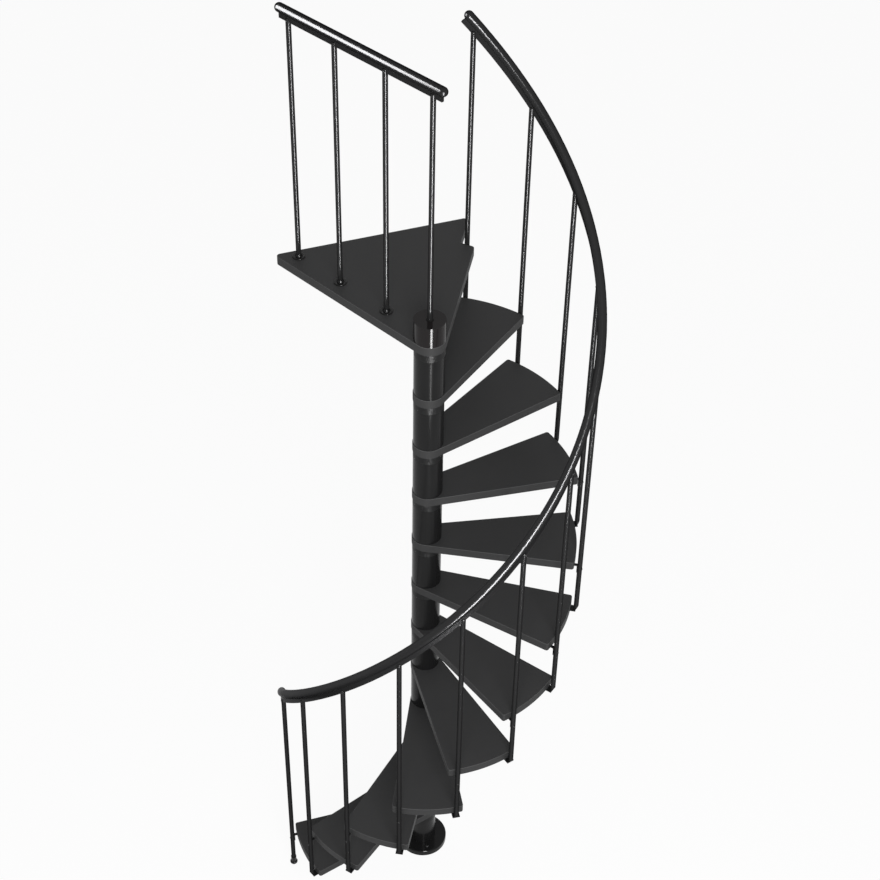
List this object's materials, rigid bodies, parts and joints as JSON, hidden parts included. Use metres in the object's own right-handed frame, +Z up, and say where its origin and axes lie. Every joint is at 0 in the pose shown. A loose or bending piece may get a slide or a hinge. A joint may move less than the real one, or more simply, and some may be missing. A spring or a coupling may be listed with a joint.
{
  "type": "spiral staircase",
  "caption": "Black spiral staircase: wedge treads round a central pole on a round floor flange, square-backed landing, round balusters and a helical tube handrail.",
  "frame": {"origin": "on the pole axis at the underside of the floor flange, which is the finished floor", "axes": "+Z up along the pole; +Y square out of the landing's back edge towards the upper floor; +X along that edge; the flight climbs anticlockwise seen from above"},
  "size_m": [1.15, 1.2056, 3.6505],
  "materials": {
    "board": "board with a satin black lacquer, no grain showing",
    "spacer": "satin black powder coat",
    "ring": "moulded black, soft sheen",
    "pole": "black",
    "flange": "gloss black",
    "cap": "gloss black",
    "bracket": "satin black",
    "handrail": "gloss black",
    "rail_end": "gloss black",
    "fitting": "semi-gloss black",
    "baluster": "semi-gloss black"
  },
  "bodies": {
    "root": {"floor_flange": "flange", "central_pole": "pole", "spacer_tubes": "spacer", "spacer_rings": "ring", "tread_01": "board", "tread_02": "board", "tread_03": "board", "tread_04": "board", "tread_05": "board", "tread_06": "board", "tread_07": "board", "tread_08": "board", "tread_09": "board", "tread_10": "board", "tread_11": "board", "landing": "board", "pole_cap": "cap", "floor_foot": "fitting", "baluster_00": "baluster", "baluster_01": "baluster", "baluster_02": "baluster", "baluster_03": "baluster", "baluster_04": "baluster", "baluster_05": "baluster", "baluster_06": "baluster", "baluster_07": "baluster", "baluster_08": "baluster", "baluster_09": "baluster", "baluster_10": "baluster", "baluster_11": "baluster", "rear_brackets": "bracket", "front_brackets": "bracket", "handrail": "handrail", "landing_baluster_1": "baluster", "landing_baluster_2": "baluster", "landing_baluster_3": "baluster", "cap_baluster": "baluster", "landing_rosettes": "fitting", "landing_handrail": "handrail", "rail_end_caps": "rail_end"}
  },
  "joints": []
}
